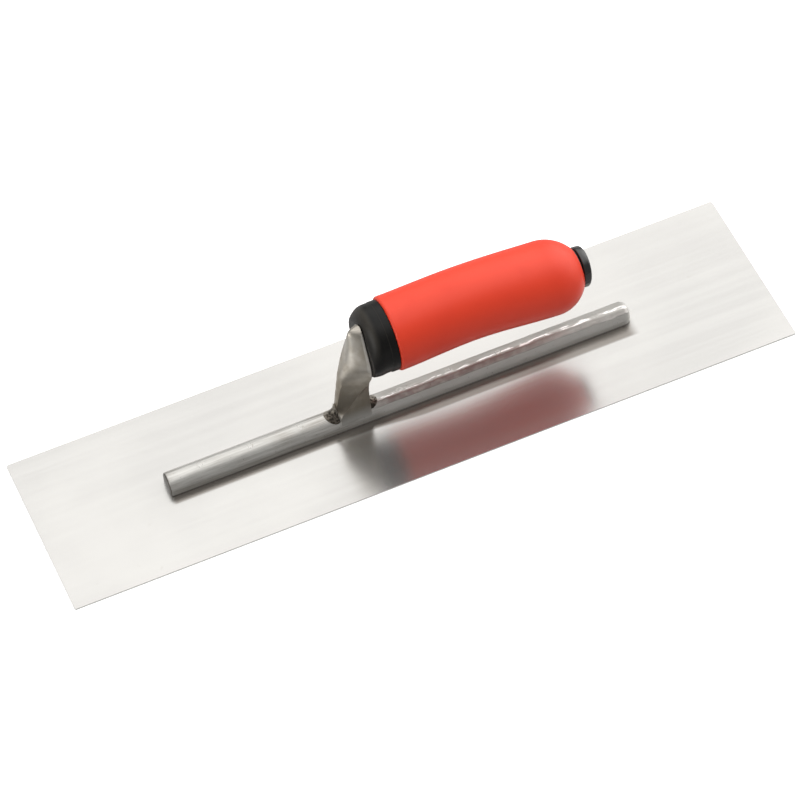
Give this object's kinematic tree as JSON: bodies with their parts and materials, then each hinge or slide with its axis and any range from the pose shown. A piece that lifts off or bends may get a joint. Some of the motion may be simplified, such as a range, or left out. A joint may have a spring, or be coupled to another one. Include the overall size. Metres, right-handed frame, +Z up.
{
  "type": "cement finishing trowel",
  "caption": "Flat rectangular steel trowel for smoothing wet concrete or plaster, with a ribbed back and an arched soft-grip handle held on a single forward shank.",
  "frame": {"origin": "centre of the blade's flat working face, which is the underside of the whole tool", "axes": "+X along the blade, from the shank's end towards the butt of the handle; +Y across the blade; +Z up, away from the working face towards the handle"},
  "size_m": [0.4064, 0.1016, 0.0789],
  "materials": {
    "blade_steel": "satin",
    "rib_steel": "satin",
    "rivet_steel": "satin",
    "forged_steel": "satin",
    "weld_metal": "matte",
    "black_collar": "matte",
    "hard_core": "matte",
    "orange_grip": "satin",
    "zinc_steel": "satin",
    "gloss_cap": "gloss"
  },
  "bodies": {
    "root": {"blade": "blade_steel", "rib": "rib_steel", "blade_rivets": "rivet_steel", "shank": "forged_steel", "weld_front": "weld_metal", "weld_rear": "weld_metal", "nose_collar": "black_collar", "handle_core": "hard_core", "grip_sleeve": "orange_grip", "tang_washer": "zinc_steel", "tang_nut": "zinc_steel", "end_cap": "gloss_cap"}
  },
  "joints": []
}
